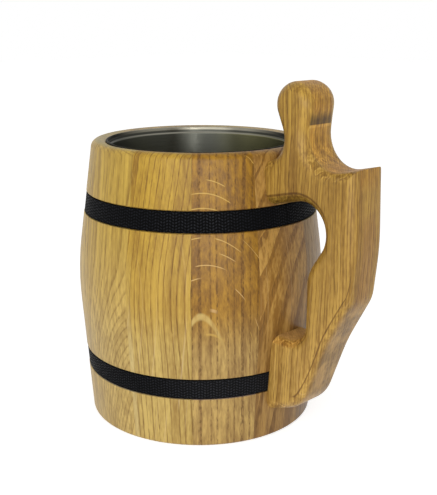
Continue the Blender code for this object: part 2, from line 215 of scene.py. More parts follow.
def groove(height):
    """Groove for a tape, its floor sharp and its edges just broken by sandpaper."""
    corners = strip_corners(height, TAPE_WIDTH + GROOVE_PLAY, -GROOVE_DEPTH, 0)
    rounds = (GROOVE_ROUND, 0, 0, GROOVE_ROUND)
    return [(*corner, radius) for corner, radius in zip(corners, rounds)]


stave_section = [
    (FOOT_RADIUS, 0, FOOT_ROUND),
    *groove(LOWER_TAPE),
    (*BELLY_CORNER, BELLY_ROUND),
    *groove(UPPER_TAPE),
    (*CREST_CORNER, CREST_ROUND),
    (SEAT_RADIUS, SEAT_EDGE, 0),
    (SEAT_RADIUS, SEAT_HEIGHT, 0),
    (BORE_RADIUS, SEAT_HEIGHT, 0),
    (BORE_RADIUS, REBATE_HEIGHT, 0),
    (REBATE_RADIUS, REBATE_HEIGHT, 0),
    (REBATE_RADIUS, REBATE_CHAMFER, 0),
    (REBATE_RADIUS + REBATE_CHAMFER, 0, 0),
]


def node(tree, kind, inputs=None, **settings):
    """Shader node with its inputs set to values or linked to sockets."""
    made = tree.nodes.new("ShaderNode" + kind)
    for name, value in settings.items():
        setattr(made, name, value)
    for name, value in (inputs or {}).items():
        if isinstance(value, bpy.types.NodeSocket):
            tree.links.new(value, made.inputs[name])
        else:
            made.inputs[name].default_value = value
    return made


def calc(tree, operation, *values):
    """Sum, product or other reckoning with values or sockets."""
    return node(tree, "Math", dict(enumerate(values)), operation=operation).outputs[0]


def vector(tree, operation, first, second):
    """Reckoning with two vectors."""
    return node(tree, "VectorMath", {0: first, 1: second}, operation=operation).outputs[0]


def toward(tree, spot, direction):
    """Distance of a spot from the barrel's axis, measured in one direction."""
    return node(tree, "VectorMath", {0: spot, 1: direction}, operation="DOT_PRODUCT").outputs["Value"]


def mix(tree, factor, under, over, blend="MIX"):
    """Two colours mixed by a mask."""
    made = node(tree, "Mix", {0: factor, 6: under, 7: over}, data_type="RGBA", blend_type=blend)
    return made.outputs[2]


def fade(tree, value, start, end, low=0.0, high=1.0):
    """Smooth step from low to high as a value goes from start to end."""
    limits = {"Value": value, "From Min": start, "From Max": end, "To Min": low, "To Max": high}
    return node(tree, "MapRange", limits, interpolation_type="SMOOTHSTEP").outputs[0]


def both(tree, first, *others):
    """Mask that is on only where all its masks are."""
    for other in others:
        first = calc(tree, "MULTIPLY", first, other)
    return first


def between(tree, value, start, full, ease, gone):
    """Mask that comes on from start to full and goes off from ease to gone."""
    return both(tree, fade(tree, value, start, full), fade(tree, value, ease, gone, 1.0, 0.0))


def speckle(tree, position, stretch, detail=2.0, roughness=0.5, output="Fac"):
    """Noise with its own scale along each axis, per metre."""
    scaled = vector(tree, "MULTIPLY", position, stretch)
    settings = {"Vector": scaled, "Scale": 1.0, "Detail": detail, "Roughness": roughness}
    return node(tree, "TexNoise", settings).outputs[output]


def new_finish(name):
    """Material with its node tree and its shader."""
    finish = bpy.data.materials.new(name)
    finish.use_nodes = True
    return finish, finish.node_tree, finish.node_tree.nodes["Principled BSDF"]


def new_group(name, inputs, outputs):
    """Node group with named sockets, and its inputs and output node."""
    tree = bpy.data.node_groups.new(name, "ShaderNodeTree")
    for label, kind in inputs.items():
        tree.interface.new_socket(label, in_out="INPUT", socket_type="NodeSocket" + kind)
    for label, kind in outputs.items():
        tree.interface.new_socket(label, in_out="OUTPUT", socket_type="NodeSocket" + kind)
    taken = tree.nodes.new("NodeGroupInput").outputs
    return tree, taken, tree.nodes.new("NodeGroupOutput").inputs


# Figure of sawn oak: growth rings about the tree's heart with a band of open pores in each,
# fibres along the grain, and the medullary rays that lie in planes through the heart.
oak_figure, taken, given = new_group(
    "oak_figure",
    {
        "Position": "Vector",
        "End Grain": "Float",
        "End Color": "Color",
        "Ring Width": "Float",
        "Wander": "Float",
        "Early Breadth": "Float",
        "Streaks": "Float",
        "Light": "Color",
        "Dark": "Color",
        "Ray": "Color",
        "Ray Amount": "Float",
        "Ray Spacing": "Float",
        "Pore Amount": "Float",
        "Pore Rows": "Float",
        "Ring Contrast": "Float",
        "Figure": "Float",
    },
    {"Color": "Color", "Roughness": "Float", "Height": "Float"},
)
tree = oak_figure
HALF = (0.5, 0.5, 0.5)
wander = node(tree, "CombineXYZ", {"X": taken["Wander"], "Y": taken["Wander"]}).outputs[0]
sway = speckle(tree, taken["Position"], (30, 30, 6), 1.0, output="Color")
sway = vector(tree, "MULTIPLY", vector(tree, "SUBTRACT", sway, HALF), wander)
ripple = speckle(tree, taken["Position"], (170, 170, 40), 1.0, output="Color")
ripple = vector(tree, "MULTIPLY", vector(tree, "SUBTRACT", ripple, HALF), wander)
ripple = node(tree, "VectorMath", {0: ripple, "Scale": 0.2}, operation="SCALE").outputs[0]
calm = vector(tree, "ADD", taken["Position"], sway)
grown = vector(tree, "ADD", calm, ripple)
place = node(tree, "SeparateXYZ", {0: grown})
across = calc(tree, "POWER", place.outputs["X"], 2.0)
depth = calc(tree, "SQRT", calc(tree, "ADD", across, calc(tree, "POWER", place.outputs["Y"], 2.0)))

# Years: each ring has its own tone, opens with a band of pores and ends a little darker.
uneven = {"W": calc(tree, "MULTIPLY", depth, 240.0), "Scale": 1.0}
season = node(tree, "TexNoise", uneven, noise_dimensions="1D").outputs[0]
year = calc(tree, "ADD", calc(tree, "DIVIDE", depth, taken["Ring Width"]), season)
growth = calc(tree, "FRACT", year)
ring = {"W": calc(tree, "FLOOR", year)}
ring_tone = node(tree, "TexWhiteNoise", ring, noise_dimensions="1D").outputs["Value"]
early = between(tree, growth, 0.0, 0.08, 0.10, taken["Early Breadth"])
late = fade(tree, growth, 0.40, 1.0)

# Pores, fibres and streaks: noise drawn out along the grain, from fine to broad.
stretched = node(tree, "CombineXYZ", {"X": 1300.0, "Y": 1300.0, "Z": taken["Pore Rows"]}).outputs[0]
vessels = both(tree, fade(tree, speckle(tree, grown, stretched, 1.0), 0.47, 0.60), early)
hairlines = fade(tree, speckle(tree, grown, (1700, 1700, 34), 1.0), 0.56, 0.70)
hairlines = calc(tree, "MULTIPLY", hairlines, 0.32)
pores = both(tree, calc(tree, "MAXIMUM", vessels, hairlines), taken["Pore Amount"])
fibres = calc(tree, "SUBTRACT", speckle(tree, grown, (640, 640, 15), 3.0, 0.65), 0.5)
streaks = calc(tree, "SUBTRACT", speckle(tree, grown, (330, 330, 9), 2.0, 0.6), 0.5)
bands = calc(tree, "SUBTRACT", speckle(tree, grown, (110, 110, 5), 2.0), 0.5)
grit = calc(tree, "SUBTRACT", speckle(tree, grown, (1000, 1000, 260), 1.0), 0.5)

drawn = calc(tree, "MULTIPLY", streaks, 1.7)
drawn = calc(tree, "MULTIPLY_ADD", bands, 0.8, drawn)
drawn = calc(tree, "MULTIPLY_ADD", fibres, 2.0, drawn)
tone = calc(tree, "MULTIPLY", calc(tree, "SUBTRACT", ring_tone, 0.5), 0.42)
tone = calc(tree, "MULTIPLY_ADD", drawn, taken["Streaks"], tone)
tone = calc(tree, "MULTIPLY_ADD", grit, 0.8, tone)
tone = calc(tree, "MULTIPLY_ADD", both(tree, early, taken["Ring Contrast"]), -0.45, tone)
tone = calc(tree, "MULTIPLY_ADD", late, -0.10, tone)
tone = calc(tree, "MULTIPLY_ADD", tone, taken["Figure"], 0.62)
wood = mix(tree, tone, taken["Dark"], taken["Light"])
deep = mix(tree, 1.0, taken["Dark"], (0.42, 0.36, 0.32, 1), "MULTIPLY")
wood = mix(tree, pores, wood, deep)

# Rays: thin sheets in planes through the heart, broken into flakes, a few of them broad.
sheet = node(tree, "SeparateXYZ", {0: calm})
turn = calc(tree, "MULTIPLY", calc(tree, "ARCTAN2", sheet.outputs["Y"], sheet.outputs["X"]), 0.11)
shifted = {"W": calc(tree, "MULTIPLY", turn, 300.0), "Scale": 1.0}
shift = node(tree, "TexNoise", shifted, noise_dimensions="1D").outputs[0]
sheaf = calc(tree, "ADD", calc(tree, "DIVIDE", turn, taken["Ray Spacing"]), shift)
thin = calc(tree, "ABSOLUTE", calc(tree, "SUBTRACT", calc(tree, "FRACT", sheaf), 0.5))
flake = node(tree, "CombineXYZ", {
    "X": calc(tree, "MULTIPLY", depth, 70.0),
    "Y": calc(tree, "MULTIPLY", calc(tree, "FLOOR", sheaf), 7.31),
    "Z": calc(tree, "MULTIPLY", place.outputs["Z"], 24.0),
}).outputs[0]
broken = node(tree, "TexNoise", {"Vector": flake, "Scale": 1.0, "Detail": 1.0}).outputs[0]
each = {"W": calc(tree, "FLOOR", sheaf)}
broad = node(tree, "TexWhiteNoise", each, noise_dimensions="1D").outputs["Value"]
breadth = fade(tree, broad, 0.86, 0.92, 0.05, 0.21)
rays = fade(tree, calc(tree, "DIVIDE", thin, breadth), 0.4, 1.0, 1.0, 0.0)
rays = both(tree, rays, fade(tree, broken, 0.52, 0.60), taken["Ray Amount"])
wood = mix(tree, rays, wood, taken["Ray"])

cut_ends = mix(tree, 0.5, wood, taken["End Color"])
wood = mix(tree, taken["End Grain"], wood, cut_ends)
tree.links.new(wood, given["Color"])
gloss = calc(tree, "MULTIPLY_ADD", pores, 0.22, 0.40)
gloss = calc(tree, "MULTIPLY_ADD", fibres, 0.16, gloss)
tree.links.new(calc(tree, "MULTIPLY_ADD", taken["End Grain"], 0.12, gloss), given["Roughness"])
relief = calc(tree, "MULTIPLY_ADD", pores, -1.0, calc(tree, "MULTIPLY", fibres, 0.5))
tree.links.new(relief, given["Height"])


def oak_finish(
    name,
    heart,
    turned,
    ring,
    light,
    dark,
    ray=(0.62, 0.42, 0.17),
    ray_amount=0.5,
    ray_spacing=0.0016,
    rays_from=None,
    low_ray=None,
    pore_amount=0.6,
    pore_rows=130.0,
    ring_contrast=1.0,
    figure=1.0,
    wander=0.006,
    early=0.45,
    streaks=1.0,
    end=(0.44, 0.40, 0.30),
    grain_axis="Z",
):
    """Satin-lacquered oak cut from a board whose tree had its heart at a point."""
    finish, tree, shader = new_finish(name)
    spot = node(tree, "TexCoord")
    board = node(
        tree,
        "Mapping",
        {"Vector": spot.outputs["Object"], "Location": heart, "Rotation": turned},
        vector_type="TEXTURE",
    )
    facing = node(tree, "SeparateXYZ", {0: spot.outputs["Normal"]}).outputs[grain_axis]
    values = {
        "Position": board.outputs[0],
        "End Grain": fade(tree, calc(tree, "ABSOLUTE", facing), 0.84, 0.995),
        "End Color": (*end, 1),
        "Ring Width": ring,
        "Wander": wander,
        "Early Breadth": early,
        "Streaks": streaks,
        "Light": (*light, 1),
        "Dark": (*dark, 1),
        "Ray": (*ray, 1),
        "Ray Amount": ray_amount,
        "Ray Spacing": ray_spacing,
        "Pore Amount": pore_amount,
        "Pore Rows": pore_rows,
        "Ring Contrast": ring_contrast,
        "Figure": figure,
    }
    if rays_from:
        high = node(tree, "SeparateXYZ", {0: spot.outputs["Object"]}).outputs["Z"]
        values["Ray"] = mix(tree, fade(tree, high, 0.074, 0.056), (*ray, 1), (*low_ray, 1))
        values["Ray Amount"] = fade(tree, high, rays_from - 0.006, rays_from + 0.006, 0.0, ray_amount)
    figure_of = node(tree, "Group", node_tree=oak_figure)
    for label, value in values.items():
        if isinstance(value, bpy.types.NodeSocket):
            tree.links.new(value, figure_of.inputs[label])
        else:
            figure_of.inputs[label].default_value = value
    tree.links.new(figure_of.outputs["Color"], shader.inputs["Base Color"])
    tree.links.new(figure_of.outputs["Roughness"], shader.inputs["Roughness"])
    height = figure_of.outputs["Height"]
    relief = node(tree, "Bump", {"Height": height, "Strength": 0.35, "Distance": 0.0002})
    tree.links.new(relief.outputs[0], shader.inputs["Normal"])
    shader.inputs["Specular IOR Level"].default_value = 0.30
    return finish


def stain(finish, mask, colour, blend="MULTIPLY"):
    """Multiply the colour of a finish where a mask is on, or cover it."""
    tree = finish.node_tree
    coloured = tree.nodes["Principled BSDF"].inputs["Base Color"]
    tree.links.new(mix(tree, mask, coloured.links[0].from_socket, colour, blend), coloured)


# Board of each stave: heart's distance, heart's turn from straight behind the face in degrees, lean
# of the grain about the rings' two other axes, ring width, light and dark colours, and what else
# sets its figure apart. A heart lies behind the stave's middle unless an anchor moves it aside.
GOLDEN = ((0.51, 0.322, 0.058), (0.274, 0.146, 0.022))
HONEY = ((0.585, 0.398, 0.108), (0.326, 0.198, 0.045))
PINK_TAN = ((0.395, 0.204, 0.022), (0.195, 0.088, 0.009))
AMBER = ((0.562, 0.325, 0.082), (0.293, 0.146, 0.030))
UMBER = ((0.36, 0.225, 0.095), (0.22, 0.125, 0.048))
boards = {
    1: (0.090, 20, 0.04, 0.14, 0.0042, AMBER, {
        "figure": 1.6,
        "streaks": 0.8,
        "ring_contrast": 1.5,
        "end": (0.26, 0.15, 0.06),
    }),
    2: (0.100, 50, 0.02, 0.03, 0.0030, UMBER, {}),
    3: (0.095, 20, -0.03, 0.08, 0.0036, HONEY, {}),
    4: (0.110, 78, 0.10, 0.02, 0.0034, AMBER, {"ray_amount": 0.7}),
    5: (0.090, -12, 0.05, -0.09, 0.0040, GOLDEN, {}),
    6: (0.105, -46, -0.02, 0.04, 0.0028, PINK_TAN, {}),
    7: (0.095, 15, 0.04, 0.08, 0.0036, AMBER, {}),
    8: (0.110, 60, 0.03, -0.04, 0.0030, HONEY, {}),
    9: (0.100, -40, 0.03, 0.05, 0.0026, HONEY, {}),
    10: (0.030, 25, 0.0, -0.17, 0.0011, HONEY, {
        "wander": 0.0035,
        "ring_contrast": 0.95,
        "streaks": 0.85,
        "ray_amount": 0.0,
        "pore_amount": 0.4,
    }),
    11: (0.200, 60, -0.01, 0.02, 0.0026, GOLDEN, {
        "end": (0.36, 0.24, 0.09),
        "wander": 0.0042,
        "ring_contrast": 1.55,
        "early": 0.34,
        "streaks": 0.7,
        "ray_amount": 0.2,
    }),
    12: (0.5026, -100, -0.22, 0.0, 0.0040, PINK_TAN, {
        "end": (0.30, 0.18, 0.07),
        "ray": (0.62, 0.40, 0.17),
        "ray_amount": 0.85,
        "ray_spacing": 0.00048,
        "rays_from": 0.057,
        "low_ray": (0.50, 0.27, 0.02),
        "wander": 0.003,
        "pore_amount": 0.65,
        "pore_rows": 420.0,
    }),
}
anchors = {10: 1.35}
MID_STAVE = 0.5
FACE_RADIUS = 0.060
HEART_HEIGHT = 0.071
BOARD_START = 0.4
BOARD_SHIFT = 0.37

# Painted light and shade on each board: painted shade darkens it towards its top, its foot is painted
# paler as a painted reflection of the floor or darker as painted shadow beside the handle's foot, and
# the rim's end grain is painted paler on the far side as a painted reflection. These follow the
# photograph.
TOP_FADE = (0.060, 0.120)
USUAL_TOP_SHADE = (0.93, 0.90, 0.55, 1)
top_shade_tints = {
    1: (0.73, 0.70, 0.64, 1),
    12: (0.89, 0.86, 0.43, 1),
}
FOOT_FADE = (0.074, 0.044)
EVEN = (1, 1, 1, 1)
foot_light_and_shade = {
    1: (0.65, 0.65, 0.70, 1),
    2: (0.60, 0.54, 0.42, 1),
    10: (1.03, 1.07, 1.26, 1),
    11: (1.12, 1.26, 2.10, 1),
    12: (1.29, 1.66, 4.9, 1),
}
FAR_SIDE = (-0.719, 0.695, 0)
RIM_PAINTED_SHEEN = (1.12, 1.20, 1.90, 1)

SAPWOOD = (1.07, 1.14, 1.50, 1)
PALE_RAY = (0.56, 0.40, 0.13, 1)
RAY_CREST = 0.0675
RAY_MIDDLE = 0.0041
NEAR_BEND = 210.0
FAR_BEND = 133.0

for number, (distance, swing, lean, run_out, ring, colours, more) in boards.items():
    start = FIRST_SEAM + (number - 1) * STAVE_TURN + GLUE_LINE / BELLY_RADIUS / 2
    away = FIRST_SEAM + (number - MID_STAVE) * STAVE_TURN + math.radians(swing)
    behind = FIRST_SEAM + (number - 1 + anchors.get(number, MID_STAVE)) * STAVE_TURN
    heart = Vector((
        FACE_RADIUS * math.cos(behind) - distance * math.cos(away),
        FACE_RADIUS * math.sin(behind) - distance * math.sin(away),
        HEART_HEIGHT,
    ))
    grain = Euler((lean, run_out, away)).to_matrix() @ Vector((0, 0, 1))
    oak = oak_finish(
        f"stave_oak_{number:02d}",
        heart + grain * (BOARD_START + BOARD_SHIFT * number),
        (lean, run_out, away),
        ring,
        *colours,
        **more,
    )
    tree = oak.node_tree
    surface = node(tree, "TexCoord")
    spot = surface.outputs["Object"]
    high = node(tree, "SeparateXYZ", {0: spot}).outputs["Z"]
    # Painted shade: each board is painted darker towards its top.
    stain(oak, fade(tree, high, *TOP_FADE), top_shade_tints.get(number, USUAL_TOP_SHADE))
    # Painted light and shade at the foot: paler as a painted reflection of the floor, darker on
    # staves 1 and 2 as painted shadow beside the handle's foot.
    stain(oak, fade(tree, high, *FOOT_FADE), foot_light_and_shade.get(number, EVEN))
    level = node(tree, "SeparateXYZ", {0: surface.outputs["Normal"]}).outputs["Z"]
    # Painted reflection: the rim's end grain is painted paler on its far side, as the lacquer mirrors
    # the white surroundings there.
    far = fade(tree, toward(tree, spot, FAR_SIDE), -0.024, 0.002)
    rim_sheen = both(tree, fade(tree, level, 0.55, 0.95), fade(tree, high, 0.135, 0.139), far)
    stain(oak, rim_sheen, RIM_PAINTED_SHEEN)
    if number in (11, 12):
        inward = toward(tree, spot, (-math.sin(start), math.cos(start), 0))
    if number == 11:
        # Strip of pale sapwood along the seam.
        strip = both(tree, fade(tree, inward, 0.0032, 0.0018), fade(tree, high, 0.100, 0.085))
        stain(oak, strip, SAPWOOD)
    if number == 12:
        # One broad ray that was cut through nearly flat and shows as a pale arch.
        beyond = calc(tree, "SUBTRACT", inward, RAY_MIDDLE)
        near_side = calc(tree, "POWER", calc(tree, "MINIMUM", beyond, 0.0), 2.0)
        far_side = calc(tree, "POWER", calc(tree, "MAXIMUM", beyond, 0.0), 2.0)
        near_drop = calc(tree, "MULTIPLY", near_side, NEAR_BEND)
        drop = calc(tree, "MULTIPLY_ADD", far_side, FAR_BEND, near_drop)
        crest = calc(tree, "SUBTRACT", RAY_CREST, drop)
        off_crest = calc(tree, "ABSOLUTE", calc(tree, "SUBTRACT", high, crest))
        fleck = fade(tree, off_crest, 0.0008, 0.0024, 1.0, 0.0)
        patchy = fade(tree, speckle(tree, spot, (420, 420, 90), 2.0), 0.3, 0.6, 0.4, 0.8)
        ending = fade(tree, inward, 0.0085, 0.0175, 1.0, 0.0)
        stain(oak, both(tree, fleck, ending, patchy), PALE_RAY, "MIX")
    bm = bmesh.new()
    draw_outline(bm, stave_section, (math.cos(start), math.sin(start), 0), (0, 0, 1))
    swing_section(bm, STAVE_TURN - GLUE_LINE / BELLY_RADIUS, STAVE_STEPS)
    stave = make_piece(bm, f"oak_stave_{number:02d}", oak)
    if number == 1:
        for height in SCREW_HEIGHTS:
            drill_screw_hole(stave, height)
    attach(stave, "root")
    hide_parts(f"stave_{number:02d}")


# Base disc: a turned oak board let into the rebate at the foot and glued flush with the staves.
# Its grain runs across the mug, so the flat face shows long lines.

disc_oak = oak_finish(
    "disc_oak",
    (0.01, 0, 0.09),
    (math.radians(90), 0, 0),
    0.0032,
    *HONEY,
    grain_axis="Y",
)
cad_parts["base_disc"].data.materials[0] = disc_oak


# Bands: two black woven tapes, 10 mm wide, glued into the turned grooves with their ends butted
# where the handle hides them. The weave is a fine herringbone with a faint blue sheen, and the
# lower tape's right half is painted greyer, a painted sheen for the floor's reflection.

TAPE_INNER = -0.0009
TAPE_OUTER = -0.0002
TAPE_ROUNDS = (0.0003, 0.0002, 0.0002, 0.0003)
TAPE_STEPS = 240
TAPE_CREASE = 50
BUTT_GAP = 0.0003
COLUMN = 0.0028
RIB = 0.0014
WARP = 0.0014
RIGHT_SIDE = (0.695, 0.719, 0)
# Yarn colours: plain, and painted greyer as a painted sheen where the floor is reflected.
PLAIN_YARN = ((0.0014, 0.0014, 0.0014, 1), (0.0085, 0.0096, 0.0132, 1))
PAINTED_SHEEN_YARN = ((0.0048, 0.0048, 0.0052, 1), (0.026, 0.027, 0.032, 1))

band_weave, tree, shader = new_finish("band_weave")
along = node(tree, "SeparateXYZ", {0: node(tree, "UVMap", uv_map="weave").outputs[0]})
side = calc(tree, "PINGPONG", calc(tree, "DIVIDE", along.outputs["X"], COLUMN), 1.0)
rib = calc(tree, "ADD", calc(tree, "DIVIDE", along.outputs["Y"], RIB), side)
thread = calc(tree, "PINGPONG", rib, 0.5)
warp = calc(tree, "PINGPONG", calc(tree, "DIVIDE", along.outputs["X"], WARP), 0.5)
raised = both(tree, fade(tree, thread, 0.10, 0.42), fade(tree, warp, 0.08, 0.40, 0.1, 1.0))
spot = node(tree, "TexCoord").outputs["Object"]
fuzz = fade(tree, speckle(tree, spot, (900, 900, 900), 2.0), 0.25, 0.75, 0.4, 1.0)
selvage = fade(tree, calc(tree, "ABSOLUTE", along.outputs["Y"]), 0.0042, 0.0047, 1.0, 0.0)
lifted = both(tree, raised, selvage, fuzz)
high = node(tree, "SeparateXYZ", {0: spot}).outputs["Z"]
# Painted sheen: the lower tape, most of all its right half, is painted greyer for the floor's
# reflection.
right_half = fade(tree, toward(tree, spot, RIGHT_SIDE), -0.030, 0.005, 0.25, 1.0)
painted_sheen = both(tree, fade(tree, high, 0.080, 0.050), right_half)
yarn = mix(tree, painted_sheen, mix(tree, lifted, *PLAIN_YARN), mix(tree, lifted, *PAINTED_SHEEN_YARN))
tree.links.new(yarn, shader.inputs["Base Color"])
tree.links.new(fade(tree, lifted, 0.0, 1.0, 0.90, 0.24), shader.inputs["Roughness"])
relief = node(tree, "Bump", {"Height": raised, "Strength": 0.5, "Distance": 0.0002})
tree.links.new(relief.outputs[0], shader.inputs["Normal"])
sheen = both(tree, lifted, fade(tree, painted_sheen, 0.0, 1.0, 0.09, 0.16))
tree.links.new(sheen, shader.inputs["Coat Weight"])
shader.inputs["Coat Roughness"].default_value = 0.25
shader.inputs["Specular IOR Level"].default_value = 0.05

for label, height in (("upper", UPPER_TAPE), ("lower", LOWER_TAPE)):
    corners = strip_corners(height, TAPE_WIDTH, TAPE_INNER, TAPE_OUTER)
    gap = BUTT_GAP / wall_radius(height)
    bm = bmesh.new()
    draw_outline(
        bm,
        [(*corner, radius) for corner, radius in zip(corners, TAPE_ROUNDS)],
        (math.cos(gap / 2), math.sin(gap / 2), 0),
        (0, 0, 1),
    )
    swing_section(bm, math.tau - gap, TAPE_STEPS)
    weave = bm.loops.layers.uv.new("weave")
    for face in bm.faces:
        for loop in face.loops:
            place = loop.vert.co
            turned = math.atan2(place.y, place.x) % math.tau
            loop[weave].uv = (turned * wall_radius(height), place.z - height)
    band = make_piece(bm, f"woven_band_{label}", band_weave, TAPE_CREASE)
    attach(band, "root")
    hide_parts(f"{label}_band")


# Handle: sawn from one oak plank 24 mm thick with a thumb knob and a horn, rounded over with a
# router, sanded thinner at the knob and scribed to the barrel, then screwed and glued on.
# The router left a fine line where its round-over starts on the lower leg.

HANDLE_HALF = 0.0120
ROUNDOVER = 0.0050
ROUNDOVER_STEPS = 8
ROUNDOVER_SHAPE = 0.46
KNOB = Vector((0.0680, 0.1629))
KNOB_RADIUS = 0.0100
SANDED = {-1: 0.0008, 1: 0.0024}
handle_corners = [
    (0.0459, 0.1363, 0),
    (0.06923, 0.1363, 0.0111),
    (0.05239, 0.1729, KNOB_RADIUS),
    (0.08035, 0.1729, KNOB_RADIUS),
    (0.0713, 0.13032, 0.0150),
    (0.1037, 0.1378, 0),
    (0.1050, 0.1020, 0.120),
    (0.1025, 0.0780, 0.018),
    (0.0898, 0.0545, 0.100),
    (0.0776, 0.0216, 0.020),
    (0.0459, 0.01006, 0),
    (0.0459, 0.0537, 0),
    (0.0782, 0.0537, 0.0090),
    (0.0782, 0.08788, 0.0180),
    (0.0879, 0.10288, 0.0134),
    (0.0879, 0.12368, 0.0134),
    (0.0459, 0.11398, 0),
]
handle_oak = oak_finish(
    "handle_oak",
    (-0.10, -0.18, 0.05),
    (0.01, 0.012, math.radians(45)),
    0.0012,
    (0.440, 0.258, 0.049),
    (0.219, 0.109, 0.0165),
    ray_amount=0.15,
    pore_amount=0.7,
    pore_rows=110.0,
    ring_contrast=0.9,
    figure=1.28,
    wander=0.009,
    early=0.34,
    streaks=0.7,
    end=(0.46, 0.25, 0.075),
)
tree = handle_oak.node_tree
surface = node(tree, "TexCoord")
spot = surface.outputs["Object"]
place = node(tree, "SeparateXYZ", {0: spot})
along, high = place.outputs["X"], place.outputs["Z"]
off = calc(tree, "ABSOLUTE", place.outputs["Y"])
facing = node(tree, "SeparateXYZ", {0: surface.outputs["Normal"]})
flat = calc(tree, "ABSOLUTE", facing.outputs["Y"])
slope = facing.outputs["Z"]
leg_back = calc(tree, "SUBTRACT", along, calc(tree, "MULTIPLY_ADD", high, 0.45, 0.052))
outer = fade(tree, leg_back, -0.002, 0.002)

# Painted light and shade along the handle: the lower leg is painted paler and the upper arm painted
# darker, for how the light falls on them.
LEG_PAINTED_LIGHT = (1.24, 1.29, 1.58, 1)
ARM_PAINTED_SHADE = (0.95, 0.94, 0.84, 1)
stain(handle_oak, fade(tree, high, 0.090, 0.040), LEG_PAINTED_LIGHT)
stain(handle_oak, fade(tree, high, 0.090, 0.140), ARM_PAINTED_SHADE)

# Sawn edges: browner than the planed faces, up to where the round-over starts; on the blade's
# outer edge this brown is also painted shade where the edge turns away from the light. The edge of
# the lower leg is darker still and blotchy.
LEG_TOP = (0.072, 0.080)
KNOB_FOOT = (0.126, 0.134)
LEG_BLOTCHES = ((0.120, 0.063, 0.020, 1), (0.395, 0.236, 0.082, 1))
KNOB_MOTTLE = ((0.86, 0.77, 0.57, 1), (1.52, 1.44, 1.26, 1))
KNOB_FACE = (1.08, 1.10, 1.02, 1)
BLADE_EDGE_BROWN_AND_SHADE = (0.78, 0.68, 0.82, 1)
mottle = fade(tree, speckle(tree, spot, (150, 150, 90), 3.0, 0.6), 0.3, 0.7)
knob_edge = both(tree, fade(tree, off, 0.0060, 0.0072, 1.0, 0.0), fade(tree, high, *KNOB_FOOT))
stain(handle_oak, knob_edge, mix(tree, mottle, *KNOB_MOTTLE))
knob_face = both(tree, fade(tree, high, 0.146, 0.156), calc(tree, "SUBTRACT", 1.0, knob_edge))
stain(handle_oak, knob_face, KNOB_FACE)
leg_edge = both(
    tree,
    fade(tree, off, 0.0084, 0.0098, 0.60, 0.0),
    fade(tree, high, *LEG_TOP, 1.0, 0.0),
    outer,
)
worn_edge = fade(tree, speckle(tree, spot, (110, 110, 75), 3.0, 0.6), 0.40, 0.60)
stain(handle_oak, leg_edge, mix(tree, worn_edge, *LEG_BLOTCHES), "MIX")
# Painted shade: the blade's outer edge is painted darker and browner where it turns away from the
# light.
blade_edge = both(
    tree,
    fade(tree, off, 0.003, 0.006, 0.7, 0.0),
    between(tree, high, *LEG_TOP, *KNOB_FOOT),
    outer,
)
stain(handle_oak, blade_edge, BLADE_EDGE_BROWN_AND_SHADE)

# Pale ridge where the sanded front of the knob meets its sawn edge.
RIDGE = (1.17, 1.18, 1.25, 1)
ridge = both(
    tree,
    between(tree, off, 0.0064, 0.0072, 0.0078, 0.0090),
    fade(tree, high, 0.138, 0.146),
    fade(tree, along, 0.066, 0.070),
)
stain(handle_oak, ridge, RIDGE)

# Painted shadow under the knob's overhang, with a paler line beside it, and painted shade on the
# underside of the upper arm.
KNOB_SHADOW = (0.27, 0.27, 0.25, 1)
PALE_LINE = (1.24, 1.30, 1.70, 1)
UNDERSIDE_SHADE = (0.55, 0.55, 0.42, 1)
saw_side = both(tree, fade(tree, along, 0.0715, 0.0735), fade(tree, off, 0.0070, 0.0080, 1.0, 0.0))
# Painted shadow under the knob's overhang.
knob_shadow = both(tree, between(tree, high, 0.1541, 0.1545, 0.1560, 0.1622), saw_side)
stain(handle_oak, knob_shadow, KNOB_SHADOW)
pale = both(tree, between(tree, high, 0.1527, 0.1532, 0.1538, 0.1544), saw_side)
stain(handle_oak, pale, PALE_LINE)
# Painted shade on the downward-facing underside of the upper arm.
underside_shade = both(tree, fade(tree, slope, -0.1, -0.6), fade(tree, high, 0.104, 0.112))
stain(handle_oak, underside_shade, UNDERSIDE_SHADE)

# Torn end grain: pale curls where the router crossed the ends of the fibres, most of all on the
# shelf of the lower foot and on the heel.
HEEL = (0.019, 0.024)
SHELF = (1.08, 0.98, 0.86, 1)
CURL = (1.38, 1.45, 1.75, 1)
CURL_SHADE = (0.74, 0.68, 0.60, 1)
steep = calc(tree, "ABSOLUTE", slope)
heel = both(tree, fade(tree, slope, -0.06, -0.30), fade(tree, high, *HEEL, 1.0, 0.0))
leg = both(tree, between(tree, high, *HEEL, 0.080, 0.090), outer)
ends = both(
    tree,
    calc(tree, "MAXIMUM", fade(tree, steep, 0.30, 0.55), heel),
    fade(tree, steep, 0.75, 0.95, 1.0, 0.3),
    calc(tree, "SUBTRACT", 1.0, leg),
    fade(tree, high, 0.137, 0.144, 1.0, 0.2),
)
shelf = both(tree, ends, between(tree, high, 0.040, 0.044, 0.060, 0.064))
stain(handle_oak, shelf, SHELF)
torn = calc(tree, "SUBTRACT", speckle(tree, spot, (230, 230, 230), 1.0), 0.5)
curls = both(tree, fade(tree, calc(tree, "ABSOLUTE", torn), 0.02, 0.06, 1.0, 0.0), ends)
stain(handle_oak, curls, CURL)
beside_curl = calc(tree, "ABSOLUTE", calc(tree, "SUBTRACT", torn, 0.10))
shade = both(tree, fade(tree, beside_curl, 0.03, 0.06, 1.0, 0.0), ends)
stain(handle_oak, shade, CURL_SHADE)

